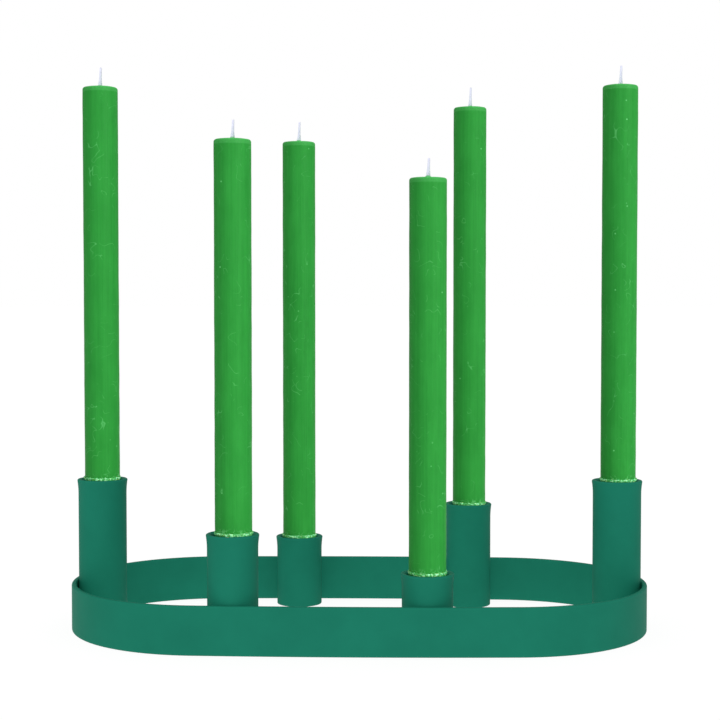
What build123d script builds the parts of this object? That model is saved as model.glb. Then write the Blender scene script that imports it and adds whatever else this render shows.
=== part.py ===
from build123d import *
from math import atan2, cos, sin
import os

# Candle holder for six dinner candles, in millimetres.
# The frame's origin is the middle of the ring, on the surface that it stands on.
# +X runs along the ring, +Y points to its back and +Z points up.

# Band: a flat bar on its edge, bent into an oval of four arcs that meet smoothly
band_length = 360.0
band_width = 180.0
band_height = 29.0
band_thickness = 3.0
band_end_radius = 88.0
band_edge_round = 1.0
seam_width = 2.0

# Sockets: tubes with a floor inside and a lip that opens a little, outside and inside
tube_radius = 15.0
tube_wall = 3.0
tube_foot_round = 0.6
flare_height = 9.0
flare_out = 0.8
lip_outer_round = 0.9
lip_inner_round = 2.4
seat_depth = 22.0
floor_thickness = 3.0
weld_gap = 0.05
tall_tube = 92.5
middle_tube = 68.5
short_tube = 46.0

# Weld beads: one each side of the line where a tube comes nearest to the band
bead_radius = 2.2
bead_along = 7.4
bead_off = 0.9
bead_inset = 7.0

# Candles and wicks
candle_radius = 11.0
candle_foot_chamfer = 0.5
shoulder_height = 1.6
shoulder_width = 1.4
dome_height = 0.5
curve_fullness = 0.7
wick_radius = 1.1
wick_tip_radius = 0.9
wick_lean = 0.5
front_candle = 252.0
end_candle = 268.0
rear_candle = 287.5
front_wick = 11.0
end_wick = 12.0
rear_wick = 13.0

# The bores are wider than the candles, so a candle may stand a little off its bore's middle
shifted = 0.6
centred = 0.0

# Each socket: name, place along the ring, side of the ring, tube height, candle length,
# how far the wick stands out, and how far off the bore's middle the candle is.
# Side -1 is the front of the ring and 1 is its back. At side 0 the tube is at the ring's end.
end_place = band_length / 2 - band_thickness - tube_radius - weld_gap
near_place = 42.0
far_place = 72.0
sockets = [
    ("left_end", -end_place, 0, tall_tube, end_candle, end_wick, centred),
    ("right_end", end_place, 0, tall_tube, end_candle, end_wick, shifted),
    ("front_left", -far_place, -1, middle_tube, front_candle, front_wick, shifted),
    ("front_right", near_place, -1, short_tube, front_candle, front_wick, centred),
    ("rear_left", -near_place, 1, short_tube, rear_candle, rear_wick, centred),
    ("rear_right", far_place, 1, middle_tube, rear_candle, rear_wick, shifted),
]

# The oval's arcs: an end arc has its centre on X, and a side arc has its centre on Y
half_length = band_length / 2
half_width = band_width / 2
end_centre = half_length - band_end_radius
side_radius = (end_centre**2 + half_width**2 - band_end_radius**2) / (2 * (half_width - band_end_radius))
side_centre = side_radius - half_width
bore_radius = tube_radius - tube_wall


def oval(inset):
    """The ring's outline as a face, moved in by inset all round."""
    radius = band_end_radius - inset
    turn = atan2(side_centre, end_centre)
    x = end_centre + radius * cos(turn)
    y = radius * sin(turn)
    outline = Curve() + [
        ThreePointArc((x, -y), (half_length - inset, 0), (x, y)),
        ThreePointArc((x, y), (0, half_width - inset), (-x, y)),
        ThreePointArc((-x, y), (inset - half_length, 0), (-x, -y)),
        ThreePointArc((-x, -y), (0, inset - half_width), (x, -y)),
    ]
    return make_face(outline)


def socket_centre(place, side):
    """Where a tube stands so that it clears the band's inner face by the weld gap."""
    if side == 0:
        return Vector(place, 0)
    reach = side_radius - band_thickness - tube_radius - weld_gap
    return Vector(place, side * ((reach**2 - place**2) ** 0.5 - side_centre))


def outward(place, side):
    """The direction from a tube's centre to the nearest point of the band."""
    if side == 0:
        return Vector(1 if place > 0 else -1, 0)
    return (socket_centre(place, side) + Vector(0, side * side_centre)).normalized()


def make_ring():
    """The whole ring with rounded edges, before its seam is cut."""
    ring = extrude(oval(0) - oval(band_thickness), band_height)
    return fillet(ring.edges(), band_edge_round)


def make_seam_block():
    """The stretch of the ring, at the middle of its back, that the seam weld fills."""
    block = Box(seam_width, 4 * band_thickness, 2 * band_height)
    return Pos(0, half_width, 0) * block


def level_rims(tube, level):
    """A tube's circles at its lowest level (0) or its highest (-1), the inner one first."""
    return tube.edges().filter_by(GeomType.CIRCLE).group_by(Axis.Z)[level].sort_by(SortBy.RADIUS)


def make_tube(height):
    """A tube whose wall opens at the top in an arc, with a rounded mouth, lip and foot."""
    flare_start = height - flare_height
    flare_radius = (flare_height**2 + flare_out**2) / (2 * flare_out)
    half_way = flare_start + flare_height / 2
    half_out = flare_radius - (flare_radius**2 - (flare_height / 2) ** 2) ** 0.5
    side = Line((tube_radius, 0), (tube_radius, flare_start))
    flare = ThreePointArc(
        (tube_radius, flare_start),
        (tube_radius + half_out, half_way),
        (tube_radius + flare_out, height),
    )
    inside = Polyline(
        (tube_radius + flare_out, height), (bore_radius, height), (bore_radius, 0), (tube_radius, 0)
    )
    profile = make_face(Curve() + [side, flare, inside])
    tube = revolve(Plane.XZ * profile, Axis.Z)
    tube = fillet(level_rims(tube, -1)[-1], lip_outer_round)
    tube = fillet(level_rims(tube, -1)[0], lip_inner_round)
    return fillet(level_rims(tube, 0), tube_foot_round)


def make_floor(height):
    """The disc inside a tube that the candle stands on."""
    disc = Cylinder(bore_radius, floor_thickness, align=(Align.CENTER, Align.CENTER, Align.MAX))
    return Pos(0, 0, height - seat_depth) * disc


def make_welds(place, side):
    """Two round-ended beads in the corners between a tube and the band."""
    centre = socket_centre(place, side)
    out = outward(place, side)
    along = Vector(-out.Y, out.X)
    low = bead_inset
    high = band_height - bead_inset
    inside_ring = extrude(oval(band_thickness), band_height)
    tube_space = Pos(centre.X, centre.Y, band_height / 2) * Cylinder(tube_radius, 2 * band_height)
    beads = []
    for way in (-1, 1):
        middle_line = centre + out * (tube_radius - bead_off) + along * (way * bead_along)
        rod = extrude(Pos(middle_line.X, middle_line.Y, low) * Circle(bead_radius), high - low)
        for level in (low, high):
            rod += Pos(middle_line.X, middle_line.Y, level) * Sphere(bead_radius)
        bead = (rod & inside_ring) - tube_space
        beads += bead.solids()
    return Compound(children=beads)


def make_candle(length):
    """A straight candle with a worn shoulder, a low dome and a hole for its wick."""
    shoulder = length - dome_height - shoulder_height
    rim = length - dome_height
    dome_edge = candle_radius - shoulder_width
    foot = Polyline(
        (wick_radius, length),
        (wick_radius, 0),
        (candle_radius - candle_foot_chamfer, 0),
        (candle_radius, candle_foot_chamfer),
        (candle_radius, shoulder),
    )
    worn_edge = ThreePointArc(
        (candle_radius, shoulder),
        (dome_edge + shoulder_width * curve_fullness, shoulder + shoulder_height * curve_fullness),
        (dome_edge, rim),
    )
    dome = ThreePointArc(
        (dome_edge, rim),
        ((dome_edge + wick_radius) / 2, rim + dome_height * curve_fullness),
        (wick_radius, length),
    )
    profile = make_face(Curve() + [foot, worn_edge, dome])
    return revolve(Plane.XZ * profile, Axis.Z)


def make_wick(length, stand):
    """A wick that fills the candle's hole and stands out of it, thinner and leaning to its tip."""
    core = Cylinder(wick_radius, length, align=(Align.CENTER, Align.CENTER, Align.MIN))
    root = Pos(0, 0, length) * Circle(wick_radius)
    tip = Pos(wick_lean, 0, length + stand) * Circle(wick_tip_radius)
    return core + loft([root, tip])


def write(node, shape):
    export_step(shape, f"parts/{node}.step")


def main():
    os.makedirs("parts", exist_ok=True)
    ring = make_ring()
    seam_block = make_seam_block()
    write("band", ring - seam_block)
    write("band_seam_weld", ring & seam_block)
    for name, place, side, height, length, wick, aside in sockets:
        centre = socket_centre(place, side)
        stand = Pos(centre.X, centre.Y, 0)
        seat = Pos(centre.X + aside, centre.Y, height - seat_depth)
        write(f"socket_{name}", stand * make_tube(height))
        write(f"socket_floor_{name}", stand * make_floor(height))
        write(f"socket_welds_{name}", make_welds(place, side))
        write(f"candle_{name}", seat * make_candle(length))
        write(f"wick_{name}", seat * make_wick(length, wick))


main()
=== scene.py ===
import bpy
import bmesh
import math
import random
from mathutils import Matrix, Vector


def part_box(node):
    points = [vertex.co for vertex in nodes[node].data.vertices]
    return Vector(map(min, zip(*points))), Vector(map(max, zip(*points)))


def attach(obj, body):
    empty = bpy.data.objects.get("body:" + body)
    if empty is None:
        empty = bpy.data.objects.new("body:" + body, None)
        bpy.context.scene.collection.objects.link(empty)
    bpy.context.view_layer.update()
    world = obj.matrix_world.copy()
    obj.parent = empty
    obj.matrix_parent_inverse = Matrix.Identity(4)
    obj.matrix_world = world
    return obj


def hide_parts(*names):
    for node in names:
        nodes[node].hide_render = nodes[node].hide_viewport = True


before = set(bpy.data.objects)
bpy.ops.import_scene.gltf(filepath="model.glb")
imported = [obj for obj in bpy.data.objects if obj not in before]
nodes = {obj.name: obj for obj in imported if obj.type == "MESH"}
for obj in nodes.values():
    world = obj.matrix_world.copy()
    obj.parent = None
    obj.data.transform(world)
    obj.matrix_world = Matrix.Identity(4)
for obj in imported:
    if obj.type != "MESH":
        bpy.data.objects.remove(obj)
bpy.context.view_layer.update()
seats = ["left_end", "right_end", "front_left", "front_right", "rear_left", "rear_right"]
print("frame loaded:", len(nodes), "nodes")

# every length below is in metres


# small helpers used by every piece

def deselectAll():
    bpy.ops.object.select_all(action="DESELECT")


def useOnly(piece):
    deselectAll()
    piece.select_set(True)
    bpy.context.view_layer.objects.active = piece


def startEdit(piece):
    useOnly(piece)
    bpy.ops.object.mode_set(mode="EDIT")


def endEdit():
    bpy.ops.object.mode_set(mode="OBJECT")


def selectParts(piece, kind, test):
    # in edit mode, selects the vertices, edges or faces whose middle passes the test
    bpy.ops.mesh.select_mode(type=kind)
    bpy.ops.mesh.select_all(action="DESELECT")
    mesh = bmesh.from_edit_mesh(piece.data)
    parts = {"VERT": mesh.verts, "EDGE": mesh.edges, "FACE": mesh.faces}[kind]
    for part in parts:
        if kind == "VERT":
            middle = part.co
        elif kind == "EDGE":
            middle = (part.verts[0].co + part.verts[1].co) / 2
        else:
            middle = part.calc_center_median()
        part.select_set(bool(test(part, middle)))
    bmesh.update_edit_mesh(piece.data)


def pull(rise, size, middle=(0, 0, 0)):
    # extrudes the selected cap upwards, and widens or narrows it about the middle
    bpy.ops.mesh.extrude_region_move(TRANSFORM_OT_translate={"value": (0, 0, rise)})
    bpy.ops.transform.resize(value=(size, size, 1), center_override=middle)


def copyOf(piece, name):
    useOnly(piece)
    bpy.ops.object.duplicate()
    made = bpy.context.object
    made.name = name
    return made


def joinAll(pieces, name):
    useOnly(pieces[0])
    for piece in pieces:
        piece.select_set(True)
    bpy.ops.object.join()
    pieces[0].name = name
    return pieces[0]


def applyPlace(piece):
    useOnly(piece)
    bpy.ops.object.transform_apply(location=True, rotation=True, scale=True)


def applyModifiers(piece):
    useOnly(piece)
    for modifier in list(piece.modifiers):
        bpy.ops.object.modifier_apply(modifier=modifier.name)


def facesUp(face, middle):
    return face.normal.z > 0.9


def facesDown(face, middle):
    return face.normal.z < -0.9


def roughen(piece, size, depth, level):
    # uneven surface: size is the width of a lump, and level 1 pushes it only inwards
    cloud = bpy.data.textures.new(piece.name + "_lumps", "CLOUDS")
    cloud.noise_scale = size
    cloud.noise_depth = 2
    lumps = piece.modifiers.new("lumps", "DISPLACE")
    lumps.texture = cloud
    lumps.texture_coords = "GLOBAL"
    lumps.strength = depth
    lumps.mid_level = level
    applyModifiers(piece)


def smoothShade(piece, degrees):
    useOnly(piece)
    bpy.ops.object.shade_smooth_by_angle(angle=math.radians(degrees))


def giveAttribute(piece, name, values):
    # one value for each vertex
    layer = piece.data.attributes.new(name, "FLOAT", "POINT")
    layer.data.foreach_set("value", values)


def settle(piece, body, material):
    # puts a finished piece's place into its mesh, and gives it its body and material
    applyPlace(piece)
    piece.data.materials.clear()
    piece.data.materials.append(material)
    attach(piece, body)


def middleOf(node):
    low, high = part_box(node)
    return (Vector(low) + Vector(high)) / 2


# camera

cameraSet = {
    "lens": 77.13,          # millimetres, as is the sensor
    "sensor": 36,
    "farthest": 200,        # the last place that it sees
    "distance": 0.967,      # in front of the ring's middle
    "aside": 0.0251,        # to the right of the ring's middle
    "height": 0.2037,
    "turn": 1.438,          # degrees to the left
    "dip": 2.14,            # degrees below level
}


def placeCamera():
    bpy.ops.object.camera_add(location=(cameraSet["aside"], -cameraSet["distance"], cameraSet["height"]))
    camera = bpy.context.object
    camera.rotation_euler = (math.radians(90 - cameraSet["dip"]), 0, math.radians(cameraSet["turn"]))
    camera.data.sensor_width = cameraSet["sensor"]
    camera.data.lens = cameraSet["lens"]
    camera.data.clip_end = cameraSet["farthest"]
    bpy.context.scene.camera = camera


placeCamera()
print("camera placed")


# floor, sky and lamps

stageSet = {
    "floorSize": 120,
    "floorColour": (0.9, 0.9, 0.9, 1),
    "floorRoughness": 0.9,
    "floorGlow": 0.84,      # share of the floor's look that no shadow reaches
    "glowPower": 1.06,
    "skyLight": 0.62,       # what the sky gives the object
    "skySeen": 1.0,         # what the camera sees
    "frontPower": 1.36,
    "frontSpread": 50,
    "frontTurn": (54, 0, -8),
    "sidePower": 2.8,       # lights the wax only
    "sideSpread": 36,
    "sideTurn": (68, 0, 50),
}


def buildStage():
    bpy.ops.mesh.primitive_plane_add(size=stageSet["floorSize"], location=(0, 0, 0))
    floor = bpy.context.object
    floor.name = "studio_floor"
    paint = bpy.data.materials.new("paleFloor")
    paint.use_nodes = True
    tree = paint.node_tree
    shader = tree.nodes["Principled BSDF"]
    shader.inputs["Base Color"].default_value = stageSet["floorColour"]
    shader.inputs["Roughness"].default_value = stageSet["floorRoughness"]
    shader.inputs["Specular IOR Level"].default_value = 0.0
    glow = tree.nodes.new("ShaderNodeEmission")
    glow.inputs["Strength"].default_value = stageSet["glowPower"]
    mix = tree.nodes.new("ShaderNodeMixShader")
    mix.inputs[0].default_value = stageSet["floorGlow"]
    tree.links.new(shader.outputs[0], mix.inputs[1])
    tree.links.new(glow.outputs[0], mix.inputs[2])
    tree.links.new(mix.outputs[0], tree.nodes["Material Output"].inputs["Surface"])
    floor.data.materials.append(paint)
    return floor


def buildSky():
    sky = bpy.data.worlds.new("softSky")
    bpy.context.scene.world = sky
    sky.use_nodes = True
    tree = sky.node_tree
    tree.nodes.clear()
    output = tree.nodes.new("ShaderNodeOutputWorld")
    path = tree.nodes.new("ShaderNodeLightPath")
    mix = tree.nodes.new("ShaderNodeMixShader")
    tree.links.new(path.outputs["Is Camera Ray"], mix.inputs[0])
    for place, power in [(1, stageSet["skyLight"]), (2, stageSet["skySeen"])]:
        glow = tree.nodes.new("ShaderNodeBackground")
        glow.inputs["Strength"].default_value = power
        glow.inputs["Color"].default_value = (1, 1, 1, 1)
        tree.links.new(glow.outputs[0], mix.inputs[place])
    tree.links.new(mix.outputs[0], output.inputs["Surface"])


def addSun(kind):
    # kind is front or side; the floor is all that its light stops at, so no piece shades another
    bpy.ops.object.light_add(type="SUN", location=(0, 0, 3))
    lamp = bpy.context.object
    lamp.name = kind + "Lamp"
    lamp.data.energy = stageSet[kind + "Power"]
    lamp.data.angle = math.radians(stageSet[kind + "Spread"])
    lamp.rotation_euler = [math.radians(angle) for angle in stageSet[kind + "Turn"]]
    lamp.light_linking.blocker_collection = shadowMakers
    return lamp


shadowMakers = bpy.data.collections.new("shadowMakers")
waxPieces = bpy.data.collections.new("waxPieces")
shadowMakers.objects.link(buildStage())
buildSky()
addSun("front")
addSun("side").light_linking.receiver_collection = waxPieces    # its light is kept off the metal
bpy.context.scene.view_settings.view_transform = "Standard"
print("stage and lamps ready")


# node groups that several materials share

effectSet = {
    "grainDetail": 3,
    "grainRoughness": 0.6,
    "edgeSamples": 6,
    "scratchBend": 0.6,
    "patchStretch": (-1, 1, 0.7),   # keeps the patches from following the scratches' own noise
    "patchBar": 0.74,       # noise that a patch has to pass to hold scratches, where their share is 0
    "patchDrop": 0.4,       # how much lower that is where their share is 1
    "patchFade": 0.06,
}


def newGroup(name, inputs, outputs):
    group = bpy.data.node_groups.new(name, "ShaderNodeTree")
    for label, kind, value in inputs:
        socket = group.interface.new_socket(name=label, in_out="INPUT", socket_type=kind)
        socket.default_value = value
    for label in outputs:
        group.interface.new_socket(name=label, in_out="OUTPUT", socket_type="NodeSocketFloat")
    return group, group.nodes.new("NodeGroupInput"), group.nodes.new("NodeGroupOutput")


def addMath(tree, operation, first, second=0.0, third=None, clamp=False):
    # each of the values is a number or a socket
    node = tree.nodes.new("ShaderNodeMath")
    node.operation = operation
    node.use_clamp = clamp
    for place, value in enumerate([first, second, third]):
        if isinstance(value, bpy.types.NodeSocket):
            tree.links.new(value, node.inputs[place])
        elif value is not None:
            node.inputs[place].default_value = value
    return node.outputs[0]


def addRange(tree, value, fromLow, fromHigh, toLow=0.0, toHigh=1.0):
    node = tree.nodes.new("ShaderNodeMapRange")
    node.interpolation_type = "SMOOTHSTEP"
    for name, given in [("Value", value), ("From Min", fromLow), ("From Max", fromHigh),
                        ("To Min", toLow), ("To Max", toHigh)]:
        if isinstance(given, bpy.types.NodeSocket):
            tree.links.new(given, node.inputs[name])
        else:
            node.inputs[name].default_value = given
    return node.outputs[0]


def stretchedPlace(tree, stretch):
    # the piece's own coordinates, multiplied by a vector
    place = tree.nodes.new("ShaderNodeTexCoord")
    scaled = tree.nodes.new("ShaderNodeVectorMath")
    scaled.operation = "MULTIPLY"
    tree.links.new(place.outputs["Object"], scaled.inputs[0])
    if isinstance(stretch, bpy.types.NodeSocket):
        tree.links.new(stretch, scaled.inputs[1])
    else:
        scaled.inputs[1].default_value = stretch
    return scaled.outputs[0]


def buildGrainGroup():
    # soft uneven noise from 0 to 1, drawn out along an axis where Stretch is small
    inputs = [
        ("Scale", "NodeSocketFloat", 500.0),
        ("Stretch", "NodeSocketVector", (1, 1, 1)),
        ("Contrast", "NodeSocketFloat", 1.0),
    ]
    group, start, end = newGroup("grain", inputs, ["Grain"])
    noise = group.nodes.new("ShaderNodeTexNoise")
    noise.inputs["Detail"].default_value = effectSet["grainDetail"]
    noise.inputs["Roughness"].default_value = effectSet["grainRoughness"]
    group.links.new(stretchedPlace(group, start.outputs["Stretch"]), noise.inputs["Vector"])
    group.links.new(start.outputs["Scale"], noise.inputs["Scale"])
    centred = addMath(group, "SUBTRACT", noise.outputs[0], 0.5)
    spread = addMath(group, "MULTIPLY_ADD", centred, start.outputs["Contrast"], 0.5, clamp=True)
    group.links.new(spread, end.inputs["Grain"])
    return group


def buildEdgeGroup():
    # 1 on an outer or inner edge, 0 away from it
    inputs = [("Width", "NodeSocketFloat", 0.001), ("Gain", "NodeSocketFloat", 4.0)]
    group, start, end = newGroup("edges", inputs, ["Edge"])
    soft = group.nodes.new("ShaderNodeBevel")
    soft.samples = effectSet["edgeSamples"]
    group.links.new(start.outputs["Width"], soft.inputs["Radius"])
    surface = group.nodes.new("ShaderNodeNewGeometry")
    dot = group.nodes.new("ShaderNodeVectorMath")
    dot.operation = "DOT_PRODUCT"
    group.links.new(soft.outputs[0], dot.inputs[0])
    group.links.new(surface.outputs["Normal"], dot.inputs[1])
    away = addMath(group, "SUBTRACT", 1.0, dot.outputs["Value"])
    strong = addMath(group, "MULTIPLY", away, start.outputs["Gain"], clamp=True)
    group.links.new(strong, end.inputs["Edge"])
    return group


def buildMarksGroup():
    # small specks in a share of the cells, and thin curved scratches in patches
    inputs = [
        ("Scale", "NodeSocketFloat", 150.0),
        ("Speck Size", "NodeSocketFloat", 0.08),
        ("Speck Share", "NodeSocketFloat", 0.3),
        ("Scratch Width", "NodeSocketFloat", 0.006),
        ("Scratch Share", "NodeSocketFloat", 0.4),
    ]
    group, start, end = newGroup("marks", inputs, ["Specks", "Scratches"])
    place = stretchedPlace(group, (1, 1, 1))
    cells = group.nodes.new("ShaderNodeTexVoronoi")
    group.links.new(place, cells.inputs["Vector"])
    group.links.new(start.outputs["Scale"], cells.inputs["Scale"])
    split = group.nodes.new("ShaderNodeSeparateColor")
    group.links.new(cells.outputs["Color"], split.inputs[0])
    near = addRange(group, cells.outputs["Distance"], 0.0, start.outputs["Speck Size"], 1.0, 0.0)
    chosen = addMath(group, "LESS_THAN", split.outputs[0], start.outputs["Speck Share"])
    group.links.new(addMath(group, "MULTIPLY", near, chosen), end.inputs["Specks"])
    lines = group.nodes.new("ShaderNodeTexNoise")
    lines.inputs["Detail"].default_value = 0
    lines.inputs["Distortion"].default_value = effectSet["scratchBend"]
    group.links.new(place, lines.inputs["Vector"])
    group.links.new(start.outputs["Scale"], lines.inputs["Scale"])
    off = addMath(group, "ABSOLUTE", addMath(group, "SUBTRACT", lines.outputs[0], 0.5))
    thin = addRange(group, off, 0.0, start.outputs["Scratch Width"], 1.0, 0.0)
    patches = group.nodes.new("ShaderNodeTexNoise")
    patches.inputs["Detail"].default_value = 1
    group.links.new(stretchedPlace(group, effectSet["patchStretch"]), patches.inputs["Vector"])
    group.links.new(start.outputs["Scale"], patches.inputs["Scale"])
    share = start.outputs["Scratch Share"]
    bar = addMath(group, "MULTIPLY_ADD", share, -effectSet["patchDrop"], effectSet["patchBar"])
    full = addMath(group, "ADD", bar, effectSet["patchFade"])
    kept = addRange(group, patches.outputs[0], bar, full)
    group.links.new(addMath(group, "MULTIPLY", thin, kept), end.inputs["Scratches"])
    return group


grainGroup = buildGrainGroup()
edgeGroup = buildEdgeGroup()
marksGroup = buildMarksGroup()
print("shared effects ready")


# materials

def newMaterial(name):
    material = bpy.data.materials.new(name)
    material.use_nodes = True
    return material, material.node_tree, material.node_tree.nodes["Principled BSDF"]


def useGroup(tree, group, values):
    node = tree.nodes.new("ShaderNodeGroup")
    node.node_tree = group
    for name, value in values.items():
        node.inputs[name].default_value = value
    return node


def addRoughness(tree, shader, unevenness, spread, middle):
    rough = addMath(tree, "MULTIPLY_ADD", unevenness, spread, middle - spread / 2)
    tree.links.new(rough, shader.inputs["Roughness"])


def blendColour(tree, share, first, second):
    # each of the colours is a colour or a socket
    mix = tree.nodes.new("ShaderNodeMix")
    mix.data_type = "RGBA"
    tree.links.new(share, mix.inputs[0])
    for place, colour in [(6, first), (7, second)]:
        if isinstance(colour, bpy.types.NodeSocket):
            tree.links.new(colour, mix.inputs[place])
        else:
            mix.inputs[place].default_value = (*colour, 1)
    return mix.outputs[2]


def addBump(tree, shader, height, depth):
    bump = tree.nodes.new("ShaderNodeBump")
    bump.inputs["Strength"].default_value = 1.0
    bump.inputs["Distance"].default_value = depth
    tree.links.new(height, bump.inputs["Height"])
    tree.links.new(bump.outputs[0], shader.inputs["Normal"])


def readAttribute(tree, name):
    node = tree.nodes.new("ShaderNodeAttribute")
    node.attribute_name = name
    return node.outputs["Fac"]


powderSet = {
    "deep": (0.0078, 0.151, 0.096),
    "light": (0.0091, 0.17, 0.108),
    # edge is the pale colour of the painted highlight along the edges, and also of the dust specks
    "edge": (0.024, 0.28, 0.19),
    "roughness": 0.6,
    "roughSpread": 0.12,
    "gloss": 0.04,          # specular level
    "cloud": {"Scale": 38, "Contrast": 2.2},
    "peel": {"Scale": 1500, "Contrast": 1.5},       # the fine unevenness of baked powder
    "peelDepth": 0.000025,
    "paintedEdgeHighlight": {"Width": 0.0012, "Gain": 5.0},      # painted highlight: paler edges
    "edgeHighlightShare": 0.7,
    "dust": {"Scale": 110.0, "Speck Size": 0.045, "Speck Share": 0.35},
    "dustShare": 0.5,
    "seamReach": 0.003,     # the painted edge highlight is left off this far to each side of the band's seam
    "seamFade": 0.001,
}


def awayFromSeam(tree):
    # 0 at the band's filled seam, 1 away from it; it keeps the painted edge highlight off the seam
    seam = middleOf("band_seam_weld")
    gap = tree.nodes.new("ShaderNodeVectorMath")
    gap.operation = "DISTANCE"
    tree.links.new(stretchedPlace(tree, (1, 1, 0)), gap.inputs[0])
    gap.inputs[1].default_value = (seam.x, seam.y, 0)
    reach = powderSet["seamReach"]
    return addRange(tree, gap.outputs["Value"], reach, reach + powderSet["seamFade"])


def mixPowderCoat():
    material, tree, shader = newMaterial("powderCoat")
    cloud = useGroup(tree, grainGroup, powderSet["cloud"])
    peel = useGroup(tree, grainGroup, powderSet["peel"])
    edges = useGroup(tree, edgeGroup, powderSet["paintedEdgeHighlight"])
    marks = useGroup(tree, marksGroup, powderSet["dust"])
    body = blendColour(tree, cloud.outputs[0], powderSet["deep"], powderSet["light"])
    # painted highlight: the edges are made paler, except at the seam
    highlightMask = addMath(tree, "MULTIPLY", edges.outputs[0], awayFromSeam(tree))
    highlightAmount = addMath(tree, "MULTIPLY", highlightMask, powderSet["edgeHighlightShare"])
    highlighted = blendColour(tree, highlightAmount, body, powderSet["edge"])
    dust = addMath(tree, "MULTIPLY", marks.outputs["Specks"], powderSet["dustShare"])
    colour = blendColour(tree, dust, highlighted, powderSet["edge"])
    tree.links.new(colour, shader.inputs["Base Color"])
    addRoughness(tree, shader, peel.outputs[0], powderSet["roughSpread"], powderSet["roughness"])
    shader.inputs["Specular IOR Level"].default_value = powderSet["gloss"]
    addBump(tree, shader, peel.outputs[0], powderSet["peelDepth"])
    return material


waxSet = {
    "deep": (0.0128, 0.169, 0.0215),
    "light": (0.0214, 0.227, 0.0325),
    "paleMarksAndHighlight": (0.13, 0.5, 0.17),     # pale wax on scratches, specks and carved arcs, and the painted highlight on the top rim and top band
    "roughness": 0.5,
    "roughSpread": 0.14,
    "gloss": 0.05,
    "soft": 0.12,           # share of light that goes under the surface
    "softReach": 0.002,
    "softColour": (0.4, 1.0, 0.4),
    "streaks": {"Scale": 700, "Stretch": (1, 1, 0.02), "Contrast": 2.4},
    "streakShare": 0.45,    # of the colour's unevenness; the cloud is the rest
    "streakDepth": 0.00004,
    "cloud": {"Scale": 90, "Stretch": (1, 1, 0.5), "Contrast": 2.0},
    "pores": {"Scale": 2400.0, "Contrast": 1.4},
    "poreShare": 0.25,
    "marks": {"Scale": 140.0, "Speck Size": 0.1, "Speck Share": 0.24,
              "Scratch Width": 0.012, "Scratch Share": 0.5},
    "scratchShare": 0.32,
    "dentShare": 0.6,
    "rimDepth": 0.0022,     # how far down the painted highlight on the top rim goes
    "rimShare": 0.5,
    "capDepth": 0.0031,     # how far down the paler top band goes, a painted highlight
    "capFade": 0.0006,
    "capShare": 0.13,
    "mouthLow": 0.001,      # the carved arcs are full to here from the socket's lip, and end at mouthHeight
    "mouthHeight": 0.005,
    "carved": {"Scale": 330.0, "Speck Size": 0.25, "Speck Share": 0.25,
               "Scratch Width": 0.05, "Scratch Share": 1.0},
    "carvedShare": 0.55,
}


def mixGreenWax():
    material, tree, shader = newMaterial("greenWax")
    streaks = useGroup(tree, grainGroup, waxSet["streaks"]).outputs[0]
    cloud = useGroup(tree, grainGroup, waxSet["cloud"]).outputs[0]
    pores = useGroup(tree, grainGroup, waxSet["pores"]).outputs[0]
    marks = useGroup(tree, marksGroup, waxSet["marks"])
    clouded = addMath(tree, "MULTIPLY", cloud, 1 - waxSet["streakShare"])
    shade = addMath(tree, "MULTIPLY_ADD", streaks, waxSet["streakShare"], clouded)
    body = blendColour(tree, shade, waxSet["deep"], waxSet["light"])
    below = readAttribute(tree, "belowTop")
    capEnd = waxSet["capDepth"] + waxSet["capFade"]
    # painted highlight: a paler band round the top of the candle and a paler top rim
    cap = addRange(tree, below, waxSet["capDepth"], capEnd, waxSet["capShare"], 0.0)
    rim = addRange(tree, below, 0.0, waxSet["rimDepth"], waxSet["rimShare"], 0.0)
    paintedTopHighlight = addMath(tree, "MAXIMUM", cap, rim)
    above = addMath(tree, "ABSOLUTE", readAttribute(tree, "aboveMouth"))
    nearMouth = addRange(tree, above, waxSet["mouthLow"], waxSet["mouthHeight"], 1.0, 0.0)
    carved = useGroup(tree, marksGroup, waxSet["carved"])
    carving = addMath(tree, "MAXIMUM", carved.outputs["Specks"], carved.outputs["Scratches"])
    cuts = addMath(tree, "MULTIPLY", addMath(tree, "MULTIPLY", nearMouth, carving), waxSet["carvedShare"])
    scratches = addMath(tree, "MULTIPLY", marks.outputs["Scratches"], waxSet["scratchShare"])
    stray = addMath(tree, "MAXIMUM", marks.outputs["Specks"], scratches)
    pale = addMath(tree, "MAXIMUM", addMath(tree, "MAXIMUM", paintedTopHighlight, stray), cuts)
    tree.links.new(blendColour(tree, pale, body, waxSet["paleMarksAndHighlight"]), shader.inputs["Base Color"])
    addRoughness(tree, shader, cloud, waxSet["roughSpread"], waxSet["roughness"])
    shader.inputs["Specular IOR Level"].default_value = waxSet["gloss"]
    shader.inputs["Subsurface Weight"].default_value = waxSet["soft"]
    shader.inputs["Subsurface Radius"].default_value = waxSet["softColour"]
    shader.inputs["Subsurface Scale"].default_value = waxSet["softReach"]
    height = addMath(tree, "MULTIPLY_ADD", pores, waxSet["poreShare"], streaks)
    dented = addMath(tree, "SUBTRACT", height, addMath(tree, "MULTIPLY", stray, waxSet["dentShare"]))
    addBump(tree, shader, dented, waxSet["streakDepth"])
    return material


crumbSet = {
    "wax": (0.04, 0.31, 0.065),
    "pale": (0.27, 0.68, 0.33),
    "flecks": {"Scale": 800.0, "Contrast": 4.5},
    "fleckRange": (0.5, 0.85),
    "fleckDepth": 0.00008,
    "roughness": 0.55,
    "roughSpread": 0.2,
    "gloss": 0.3,
    "soft": 0.25,
    "softReach": 0.001,
}


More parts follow.
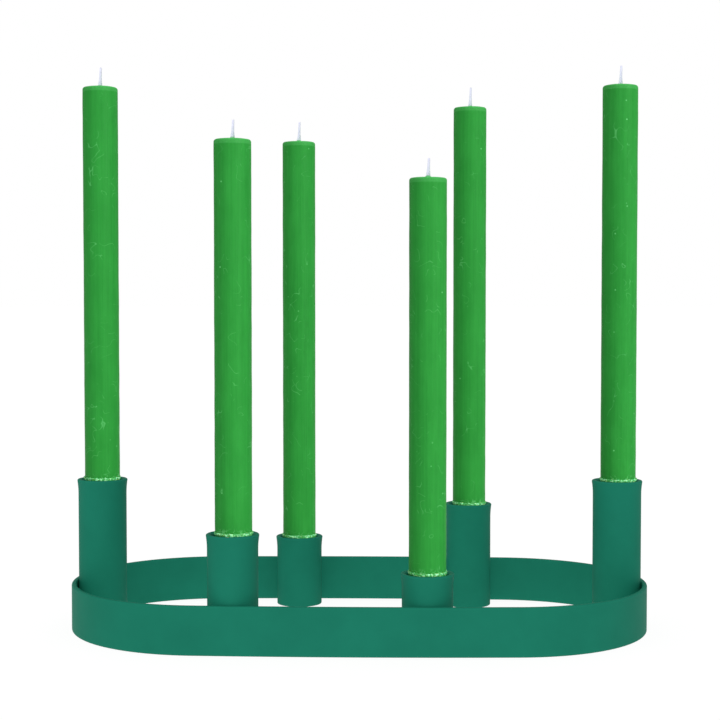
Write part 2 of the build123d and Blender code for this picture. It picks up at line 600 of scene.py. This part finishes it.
def mixCrumbWax():
    material, tree, shader = newMaterial("crumbWax")
    flecks = useGroup(tree, grainGroup, crumbSet["flecks"]).outputs[0]
    chosen = addRange(tree, flecks, *crumbSet["fleckRange"])
    tree.links.new(blendColour(tree, chosen, crumbSet["wax"], crumbSet["pale"]), shader.inputs["Base Color"])
    addRoughness(tree, shader, flecks, crumbSet["roughSpread"], crumbSet["roughness"])
    shader.inputs["Specular IOR Level"].default_value = crumbSet["gloss"]
    shader.inputs["Subsurface Weight"].default_value = crumbSet["soft"]
    shader.inputs["Subsurface Scale"].default_value = crumbSet["softReach"]
    addBump(tree, shader, flecks, crumbSet["fleckDepth"])
    return material


cottonSet = {
    "thread": (0.88, 0.88, 1.0),
    "groove": (0.66, 0.67, 0.84),
    "waxed": (0.3, 0.6, 0.36),      # where the wick has soaked up wax
    "threads": {"Scale": 5200.0, "Stretch": (1, 1, 0.12), "Contrast": 2.5},
    "threadDepth": 0.00005,
    "cloud": {"Scale": 700.0, "Contrast": 2.0},
    "cloudShare": 0.5,
    "soakRange": (0.55, 1.25),      # the ragged line between waxed and plain cotton
    "roughness": 0.9,               # waxed cotton is smoother by waxedSmooth
    "waxedSmooth": 0.35,
    "gloss": 0.2,
    "fuzz": 0.35,
    "fuzzRoughness": 0.6,
}


def mixCottonWick():
    material, tree, shader = newMaterial("cottonWick")
    threads = useGroup(tree, grainGroup, cottonSet["threads"]).outputs[0]
    cloud = useGroup(tree, grainGroup, cottonSet["cloud"]).outputs[0]
    cotton = blendColour(tree, threads, cottonSet["groove"], cottonSet["thread"])
    soaked = addMath(tree, "MULTIPLY_ADD", cloud, cottonSet["cloudShare"], readAttribute(tree, "soaked"))
    ragged = addRange(tree, soaked, *cottonSet["soakRange"])
    tree.links.new(blendColour(tree, ragged, cotton, cottonSet["waxed"]), shader.inputs["Base Color"])
    rough = addMath(tree, "MULTIPLY_ADD", ragged, -cottonSet["waxedSmooth"], cottonSet["roughness"])
    tree.links.new(rough, shader.inputs["Roughness"])
    shader.inputs["Specular IOR Level"].default_value = cottonSet["gloss"]
    shader.inputs["Sheen Weight"].default_value = cottonSet["fuzz"]
    shader.inputs["Sheen Roughness"].default_value = cottonSet["fuzzRoughness"]
    addBump(tree, shader, threads, cottonSet["threadDepth"])
    return material


powderCoat = mixPowderCoat()
greenWax = mixGreenWax()
crumbWax = mixCrumbWax()
cottonWick = mixCottonWick()
print("materials mixed")


# candles

candleSet = {
    "radius": 0.011,
    "sides": 96,
    "blank": 0.1,           # wall of the first one, before it is drawn out to each length
    "footChamfer": 0.0005,
    "footInset": 0.3,       # share of the radius, as is hubInset
    "hubInset": 0.5,
    # each pair is a rise and a step inwards
    "shoulder": [(0.0007, 0.0001), (0.0005, 0.0003), (0.0004, 0.0005), (0.0001, 0.0005)],
    "crown": [(0.0001, 0.0012), (0.0002, 0.003), (0.0001, 0.0022)],
    "collar": [(0.0001, 0.0007), (0.0002, 0.0006), (0.0003, 0.0003)],    # wax that climbs the wick
    "wallStep": 0.0024,
    "lumpSize": 0.016,
    "lumpDepth": 0.00026,
    "lumpLevel": 0.8,
}


def makeBlankCandle():
    wall = candleSet["blank"]
    radius = candleSet["radius"]
    chamfer = candleSet["footChamfer"]
    deselectAll()
    bpy.ops.mesh.primitive_cylinder_add(vertices=candleSet["sides"], radius=radius, depth=wall,
                                        end_fill_type="NGON", location=(0, 0, wall / 2 + chamfer))
    blank = bpy.context.object
    applyPlace(blank)
    startEdit(blank)
    selectParts(blank, "FACE", facesDown)
    pull(-chamfer, (radius - chamfer) / radius)
    bpy.ops.mesh.inset(thickness=radius * candleSet["footInset"])
    selectParts(blank, "FACE", facesUp)
    for rise, step in candleSet["shoulder"] + candleSet["crown"] + candleSet["collar"]:
        pull(rise, (radius - step) / radius)
        radius -= step
    bpy.ops.mesh.inset(thickness=radius * candleSet["hubInset"])
    endEdit()
    return blank


def isWallEdge(edge, middle):
    return abs(edge.verts[0].co.z - edge.verts[1].co.z) > candleSet["blank"] / 2


def noteHeights(candle, lip, top):
    # tells the wax how far each place is above the socket's lip and below the candle's top
    heights = [vertex.co.z for vertex in candle.data.vertices]
    giveAttribute(candle, "aboveMouth", [height - lip for height in heights])
    giveAttribute(candle, "belowTop", [top - height for height in heights])


def makeCandle(blank, seat):
    low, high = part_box("candle_" + seat)
    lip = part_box("socket_" + seat)[1].z
    candle = copyOf(blank, "wax_candle_" + seat)
    ends = candleSet["footChamfer"] + sum(rise for rise, step in candleSet["shoulder"] + candleSet["crown"])
    wall = high.z - low.z - ends
    startEdit(candle)
    selectParts(candle, "VERT", lambda vertex, middle: middle.z > candleSet["blank"] / 2)
    bpy.ops.transform.translate(value=(0, 0, wall - candleSet["blank"]))
    selectParts(candle, "EDGE", isWallEdge)
    bpy.ops.mesh.subdivide(number_cuts=int(wall / candleSet["wallStep"]))
    endEdit()
    centre = middleOf("candle_" + seat)
    candle.location = (centre.x, centre.y, low.z)
    applyPlace(candle)
    roughen(candle, candleSet["lumpSize"], candleSet["lumpDepth"], candleSet["lumpLevel"])
    noteHeights(candle, lip, high.z)
    smoothShade(candle, degrees=40)
    settle(candle, "candle_" + seat, greenWax)
    waxPieces.objects.link(candle)
    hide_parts("candle_" + seat)


blankCandle = makeBlankCandle()
for seat in seats:
    makeCandle(blankCandle, seat)
bpy.data.objects.remove(blankCandle)
print("candles made")


# wax crumbs, scraped off each candle where it was pressed into its socket

crumbRingSet = {
    "radius": 0.0111,
    "thickness": 0.00042,
    "around": 144,          # its faces round the candle
    "across": 10,           # its faces round its own section
    "tall": 2.3,            # its height over its thickness
    "lift": 0.0004,         # above the lip
    "turn": 1.1,            # radians from one seat's ring to the next
    "ragged": 0.0006,
    "lumpSize": 0.0014,
    "lumpLevel": 0.6,
    "chips": 64,
    "chipSize": (0.00025, 0.0005),
    "chipOut": (0.0, 0.000315),     # from the ring's radius
    "chipRise": (-0.00036, 0.00108),
    "chipShape": [(0.5, 1.1), (0.9, 2.0), (0.4, 0.9)],
    "chipTilt": [(-0.6, 0.6), (-0.4, 0.4), (-0.4, 0.4)],
    "seed": 11,
}


def makeChip(draw):
    bpy.ops.mesh.primitive_ico_sphere_add(subdivisions=1, radius=draw.uniform(*crumbRingSet["chipSize"]))
    chip = bpy.context.object
    angle = draw.uniform(0, 2 * math.pi)
    reach = crumbRingSet["radius"] + draw.uniform(*crumbRingSet["chipOut"])
    rise = draw.uniform(*crumbRingSet["chipRise"])
    chip.scale = [draw.uniform(*limits) for limits in crumbRingSet["chipShape"]]
    tilt = [draw.uniform(*limits) for limits in crumbRingSet["chipTilt"]]
    chip.rotation_euler = (tilt[0], tilt[1], angle + tilt[2])
    chip.location = (reach * math.cos(angle), reach * math.sin(angle), rise)
    return chip


def makeCrumbRing():
    draw = random.Random(crumbRingSet["seed"])
    deselectAll()
    bpy.ops.mesh.primitive_torus_add(major_segments=crumbRingSet["around"],
                                     minor_segments=crumbRingSet["across"],
                                     major_radius=crumbRingSet["radius"],
                                     minor_radius=crumbRingSet["thickness"])
    ring = bpy.context.object
    ring.scale.z = crumbRingSet["tall"]
    applyPlace(ring)
    roughen(ring, crumbRingSet["lumpSize"], crumbRingSet["ragged"], crumbRingSet["lumpLevel"])
    chips = [makeChip(draw) for number in range(crumbRingSet["chips"])]
    return joinAll([ring] + chips, "crumb_ring")


def placeCrumbRing(ring, seat, turn):
    centre = middleOf("candle_" + seat)
    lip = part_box("socket_" + seat)[1].z
    crumbs = copyOf(ring, "wax_crumbs_" + seat)
    crumbs.location = (centre.x, centre.y, lip + crumbRingSet["lift"])
    crumbs.rotation_euler = (0, 0, turn)
    smoothShade(crumbs, degrees=30)
    settle(crumbs, "candle_" + seat, crumbWax)
    waxPieces.objects.link(crumbs)


crumbRing = makeCrumbRing()
for number, seat in enumerate(seats):
    placeCrumbRing(crumbRing, seat, number * crumbRingSet["turn"])
bpy.data.objects.remove(crumbRing)
print("wax crumbs made")


# wicks

wickSet = {
    "radius": 0.00098,
    "sides": 24,
    "grooves": 3,
    "grooveCuts": [(20, 0.86), (8, 0.72)],      # degrees to each side, share of the radius kept
    "sunk": 0.003,          # twisted part inside the wax
    "stand": 0.011,         # of the first one, before it is drawn out to each height
    "steps": 48,
    "twist": 22,            # degrees a step
    "flare": 1.5,           # width where it leaves the wax, over its width higher up
    "flareHeight": 0.0045,
    "tip": 0.72,
    "tipInset": 0.3,
    "tipRise": 0.0001,
    "lean": 0.0005,
    "soakStart": 0.0004,    # above the wax, where the cotton starts to be drier
    "soakHeight": 0.0014,
}


def wickWidth(height):
    # a wick's width at a height above the wax, over its plain width
    if height < 0:
        return wickSet["flare"]
    share = min(height / wickSet["flareHeight"], 1)
    thinning = 1 - (1 - wickSet["tip"]) * height / wickSet["stand"]
    return (wickSet["flare"] + (1 - wickSet["flare"]) * share) * thinning


def cutGrooves(wick):
    for number in range(wickSet["grooves"]):
        facing = 2 * math.pi * (number + 0.5) / wickSet["grooves"]
        for spread, size in wickSet["grooveCuts"]:
            least = math.cos(math.radians(spread))
            selectParts(wick, "VERT",
                        lambda vertex, middle: math.cos(math.atan2(middle.y, middle.x) - facing) > least)
            bpy.ops.transform.resize(value=(size, size, 1), center_override=(0, 0, wickSet["stand"]))


def makeWick():
    # a twisted wick whose wax line is at z = 0
    start = -wickSet["sunk"]
    rise = (wickSet["stand"] + wickSet["sunk"] - wickSet["tipRise"]) / wickSet["steps"]
    deselectAll()
    bpy.ops.mesh.primitive_circle_add(vertices=wickSet["sides"], radius=wickSet["radius"], fill_type="NGON",
                                      location=(0, 0, start))
    wick = bpy.context.object
    applyPlace(wick)
    startEdit(wick)
    cutGrooves(wick)
    bpy.ops.mesh.select_all(action="SELECT")
    bpy.ops.transform.resize(value=(wickSet["flare"], wickSet["flare"], 1), center_override=(0, 0, 0))
    aside = 0.0
    for step in range(wickSet["steps"]):
        height = start + step * rise
        pull(rise, wickWidth(height + rise) / wickWidth(height), (aside, 0, 0))
        bpy.ops.transform.rotate(value=math.radians(wickSet["twist"]), orient_axis="Z",
                                 center_override=(aside, 0, 0))
        if height > 0:
            shift = wickSet["lean"] * rise / wickSet["stand"]
            bpy.ops.transform.translate(value=(shift, 0, 0))
            aside += shift
    bpy.ops.mesh.inset(thickness=wickSet["radius"] * wickSet["tipInset"])
    bpy.ops.transform.translate(value=(0, 0, wickSet["tipRise"]))
    bpy.ops.mesh.select_all(action="SELECT")
    bpy.ops.mesh.normals_make_consistent(inside=False)
    endEdit()
    return wick


def placeWick(wick, seat):
    low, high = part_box("candle_" + seat)
    centre = middleOf("candle_" + seat)
    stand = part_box("wick_" + seat)[1].z - high.z
    placed = copyOf(wick, "twisted_wick_" + seat)
    startEdit(placed)
    selectParts(placed, "VERT", lambda vertex, middle: middle.z > 0)
    bpy.ops.transform.resize(value=(1, 1, stand / wickSet["stand"]), center_override=(0, 0, 0))
    selectParts(placed, "VERT", lambda vertex, middle: middle.z < -wickSet["sunk"] * 0.99)    # its foot
    bpy.ops.transform.translate(value=(0, 0, low.z - high.z + wickSet["sunk"]))
    endEdit()
    start = wickSet["soakStart"]
    soaked = [1 - (vertex.co.z - start) / wickSet["soakHeight"] for vertex in placed.data.vertices]
    giveAttribute(placed, "soaked", [min(max(share, 0), 1) for share in soaked])
    placed.location = (centre.x, centre.y, high.z)
    smoothShade(placed, degrees=50)
    settle(placed, "candle_" + seat, cottonWick)
    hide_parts("wick_" + seat)


plainWick = makeWick()
for seat in seats:
    placeWick(plainWick, seat)
bpy.data.objects.remove(plainWick)
print("wicks made")


# weld beads between the tubes and the band

beadSet = {
    "radius": 0.0021,
    "reach": 0.0141,        # from the tube's middle towards the band
    "aside": 0.0074,        # to each side of that line
    "ripples": 11,
    "rippleFaces": (24, 12),    # round a ripple, and from its top to its foot
    "sizes": (0.93, 1.0),   # of a ripple, over the radius
    "flat": 0.7,            # a ripple's height over its width
    "tilt": 0.25,           # radians, each way
    "shake": 0.0001,
    "voxel": 0.0003,
    "easing": 0.5,
    "rounds": 3,
    "turn": 1.0,            # radians, one way for one bead and the other way for the other
    "seed": 5,
}


def makeBead(draw, length):
    # overlapping flat drops one on another, melted together
    around, down = beadSet["rippleFaces"]
    tilt = beadSet["tilt"]
    shake = beadSet["shake"]
    inset = beadSet["radius"] * beadSet["flat"]
    deselectAll()
    drops = []
    for number in range(beadSet["ripples"]):
        size = beadSet["radius"] * draw.uniform(*beadSet["sizes"])
        bpy.ops.mesh.primitive_uv_sphere_add(segments=around, ring_count=down, radius=size)
        drop = bpy.context.object
        drop.scale = (1, 1, beadSet["flat"])
        drop.rotation_euler = (draw.uniform(-tilt, tilt), draw.uniform(-tilt, tilt), 0)
        rise = inset + (length - 2 * inset) * number / (beadSet["ripples"] - 1)
        drop.location = (draw.uniform(-shake, shake), draw.uniform(-shake, shake), rise)
        drops.append(drop)
    bead = joinAll(drops, "bead")
    applyPlace(bead)
    melt = bead.modifiers.new("melt", "REMESH")
    melt.mode = "VOXEL"
    melt.voxel_size = beadSet["voxel"]
    applyModifiers(bead)
    ease = bead.modifiers.new("ease", "SMOOTH")
    ease.factor = beadSet["easing"]
    ease.iterations = beadSet["rounds"]
    applyModifiers(bead)
    return bead


def placeBeads(bead, seat):
    low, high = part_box("socket_welds_" + seat)
    centre = middleOf("socket_" + seat)
    out = middleOf("socket_welds_" + seat) - centre
    out.z = 0
    out.normalize()
    along = Vector((-out.y, out.x, 0))
    pair = []
    for side in (-1, 1):
        one = copyOf(bead, "one_bead")
        one.location = centre + out * beadSet["reach"] + along * (side * beadSet["aside"])
        one.location.z = low.z
        one.rotation_euler = (0, 0, side * beadSet["turn"])
        pair.append(one)
    beads = joinAll(pair, "weld_beads_" + seat)
    smoothShade(beads, degrees=60)
    settle(beads, "holder", powderCoat)
    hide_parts("socket_welds_" + seat)


beadLow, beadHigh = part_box("socket_welds_left_end")
plainBead = makeBead(random.Random(beadSet["seed"]), beadHigh.z - beadLow.z)
for seat in seats:
    placeBeads(plainBead, seat)
bpy.data.objects.remove(plainBead)
print("weld beads made")


# the frame's own pieces

for name, node in nodes.items():
    if name.startswith(("band", "socket")):
        node.data.materials.clear()
        node.data.materials.append(powderCoat)
print("powder coat on the band, tubes and floors")
